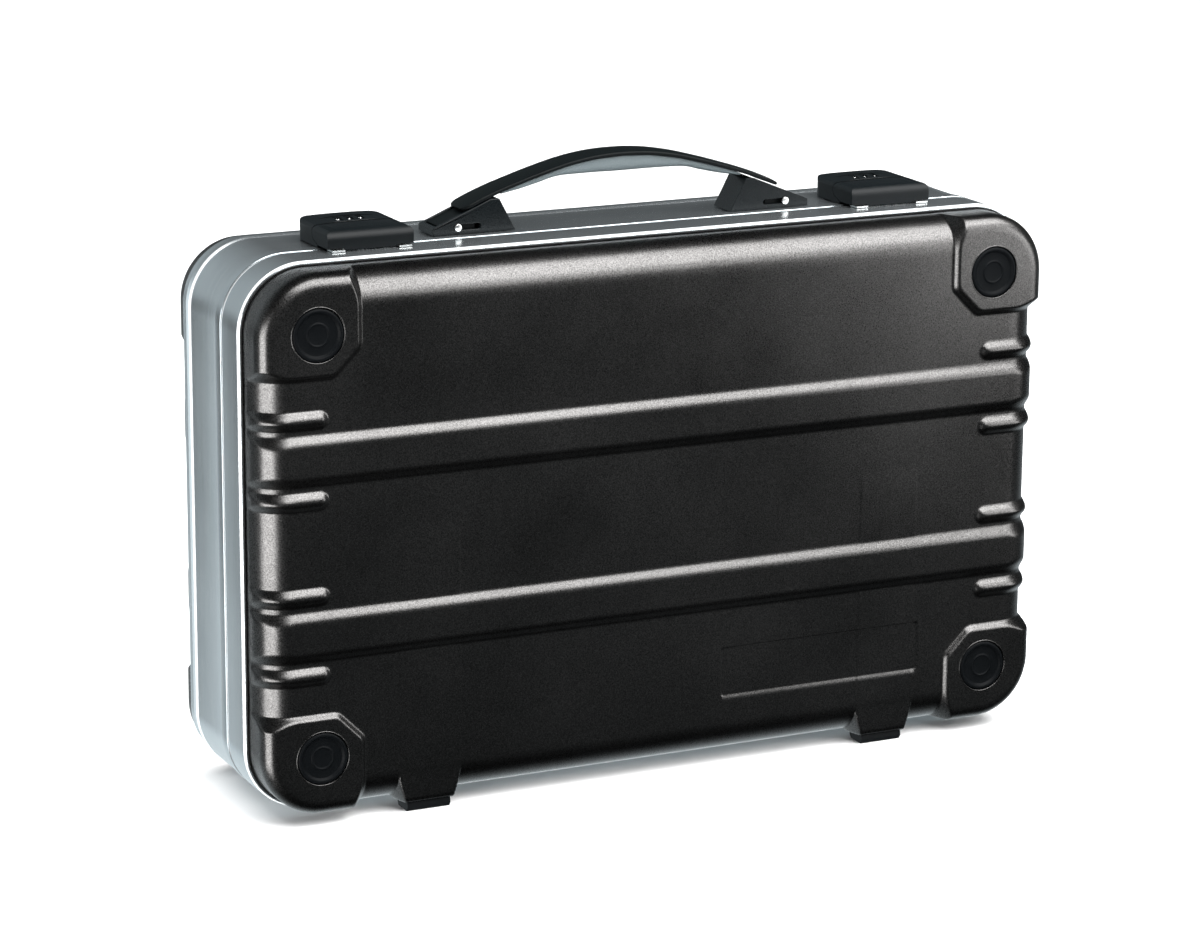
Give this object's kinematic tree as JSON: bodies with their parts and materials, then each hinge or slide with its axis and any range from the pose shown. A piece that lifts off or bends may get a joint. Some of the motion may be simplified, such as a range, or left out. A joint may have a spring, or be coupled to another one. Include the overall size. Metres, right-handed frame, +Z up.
{
  "type": "attache case",
  "caption": "Aluminium attache case with drawn ribbed shells, satin extruded frames, lifting strap handle, combination latches and slotted lid stays; stands on its hinge side.",
  "frame": {"origin": "bottom centre of the case's bounding box, on the underside of the rubber feet", "axes": "+X along the width, +Y from the lid towards the base shell, +Z up towards the handle"},
  "size_m": [0.494, 0.128, 0.3542],
  "materials": {
    "shell": "fine-grained dark anodised, satin",
    "frame": "satin silver anodised extrusion",
    "rubber": "moulded black rubber",
    "lining": "dark grey lining board",
    "lock_plastic": "black moulded, satin",
    "dial": "black dial wheels with white digits",
    "strap": "black strap, lightly glossy",
    "grip": "soft grey grip pad",
    "steel": "bright steel"
  },
  "bodies": {
    "case_base": {"base_frame": "frame", "base_shell": "shell", "base_lining": "lining", "base_button_L_top": "rubber", "base_button_R_top": "rubber", "base_button_L_bottom": "rubber", "base_button_R_bottom": "rubber", "base_foot_L": "rubber", "base_foot_R": "rubber", "handle_mount_L": "lock_plastic", "handle_mount_R": "lock_plastic", "hinge_base_leaf_L": "steel", "hinge_base_leaf_R": "steel", "hinge_pin_L": "steel", "hinge_pin_R": "steel", "stay_base_post_L": "steel", "stay_base_post_R": "steel", "lock_body_L": "lock_plastic", "lock_body_R": "lock_plastic", "lock_axle_L": "steel", "lock_axle_R": "steel", "lock_flap_pin_L": "steel", "lock_flap_pin_R": "steel"},
    "lid": {"lid_frame": "frame", "lid_gasket": "rubber", "lid_shell_trim": "rubber", "lid_shell": "shell", "lid_lining": "lining", "lid_button_L_top": "rubber", "lid_button_R_top": "rubber", "lid_button_L_bottom": "rubber", "lid_button_R_bottom": "rubber", "lid_foot_L": "rubber", "lid_foot_R": "rubber", "hinge_lid_leaf_L": "steel", "hinge_lid_leaf_R": "steel", "stay_lid_post_L": "steel", "stay_lid_post_R": "steel", "lid_striker_L": "steel", "lid_striker_R": "steel"},
    "handle": {"handle_strap": "strap", "handle_grip_pad": "grip"},
    "latch_flap_L": {"lock_flap_L": "lock_plastic", "lock_hook_L": "steel"},
    "dial_L1": {"lock_dial_L1": "dial"},
    "dial_L2": {"lock_dial_L2": "dial"},
    "dial_L3": {"lock_dial_L3": "dial"},
    "strap_end_L": {"strap_end_L": "strap", "handle_pin_L": "steel"},
    "stay_arm_L": {"stay_arm_L": "steel"},
    "latch_flap_R": {"lock_flap_R": "lock_plastic", "lock_hook_R": "steel"},
    "dial_R1": {"lock_dial_R1": "dial"},
    "dial_R2": {"lock_dial_R2": "dial"},
    "dial_R3": {"lock_dial_R3": "dial"},
    "strap_end_R": {"strap_end_R": "strap", "handle_pin_R": "steel"},
    "stay_arm_R": {"stay_arm_R": "steel"}
  },
  "joints": [
    {"name": "lid_hinge", "type": "hinge", "parent": "case_base", "child": "lid", "pos_m": [0, -0.012, 0.00205], "axis": [1, 0, 0], "range_deg": [0, 90]},
    {"name": "handle_lift", "type": "slide", "parent": "case_base", "child": "handle", "axis": [0, 0, 1], "range_m": [0, 0.015]},
    {"name": "latch_flap_L", "type": "hinge", "parent": "case_base", "child": "latch_flap_L", "pos_m": [-0.1628, -0.0044, 0.3218], "axis": [-1, 0, 0], "range_deg": [0, 60]},
    {"name": "dial_L1_spin", "type": "hinge", "parent": "case_base", "child": "dial_L1", "pos_m": [-0.1694, 0.009, 0.3203], "axis": [1, 0, 0], "continuous": true},
    {"name": "dial_L2_spin", "type": "hinge", "parent": "case_base", "child": "dial_L2", "pos_m": [-0.1628, 0.009, 0.3203], "axis": [1, 0, 0], "continuous": true},
    {"name": "dial_L3_spin", "type": "hinge", "parent": "case_base", "child": "dial_L3", "pos_m": [-0.1562, 0.009, 0.3203], "axis": [1, 0, 0], "continuous": true},
    {"name": "strap_end_L_slide", "type": "slide", "parent": "handle", "child": "strap_end_L", "axis": [0.5914, 0, -0.8064], "range_m": [0, 0.01861]},
    {"name": "stay_arm_L_pivot", "type": "hinge", "parent": "lid", "child": "stay_arm_L", "pos_m": [-0.2328, -0.01929, 0.04341], "axis": [1, 0, 0], "range_deg": [-45.5, 0]},
    {"name": "latch_flap_R", "type": "hinge", "parent": "case_base", "child": "latch_flap_R", "pos_m": [0.1628, -0.0044, 0.3218], "axis": [-1, 0, 0], "range_deg": [0, 60]},
    {"name": "dial_R1_spin", "type": "hinge", "parent": "case_base", "child": "dial_R1", "pos_m": [0.1562, 0.009, 0.3203], "axis": [1, 0, 0], "continuous": true},
    {"name": "dial_R2_spin", "type": "hinge", "parent": "case_base", "child": "dial_R2", "pos_m": [0.1628, 0.009, 0.3203], "axis": [1, 0, 0], "continuous": true},
    {"name": "dial_R3_spin", "type": "hinge", "parent": "case_base", "child": "dial_R3", "pos_m": [0.1694, 0.009, 0.3203], "axis": [1, 0, 0], "continuous": true},
    {"name": "strap_end_R_slide", "type": "slide", "parent": "handle", "child": "strap_end_R", "axis": [-0.5914, 0, -0.8064], "range_m": [0, 0.01861]},
    {"name": "stay_arm_R_pivot", "type": "hinge", "parent": "lid", "child": "stay_arm_R", "pos_m": [0.2328, -0.01929, 0.04341], "axis": [1, 0, 0], "range_deg": [-45.5, 0]}
  ],
  "couplings": [
    {"joint": "strap_end_L_slide", "follows": "handle_lift", "ratio": 1.2401},
    {"joint": "stay_arm_L_pivot", "follows": "lid_hinge", "ratio": -0.5},
    {"joint": "strap_end_R_slide", "follows": "handle_lift", "ratio": 1.2401},
    {"joint": "stay_arm_R_pivot", "follows": "lid_hinge", "ratio": -0.5}
  ]
}
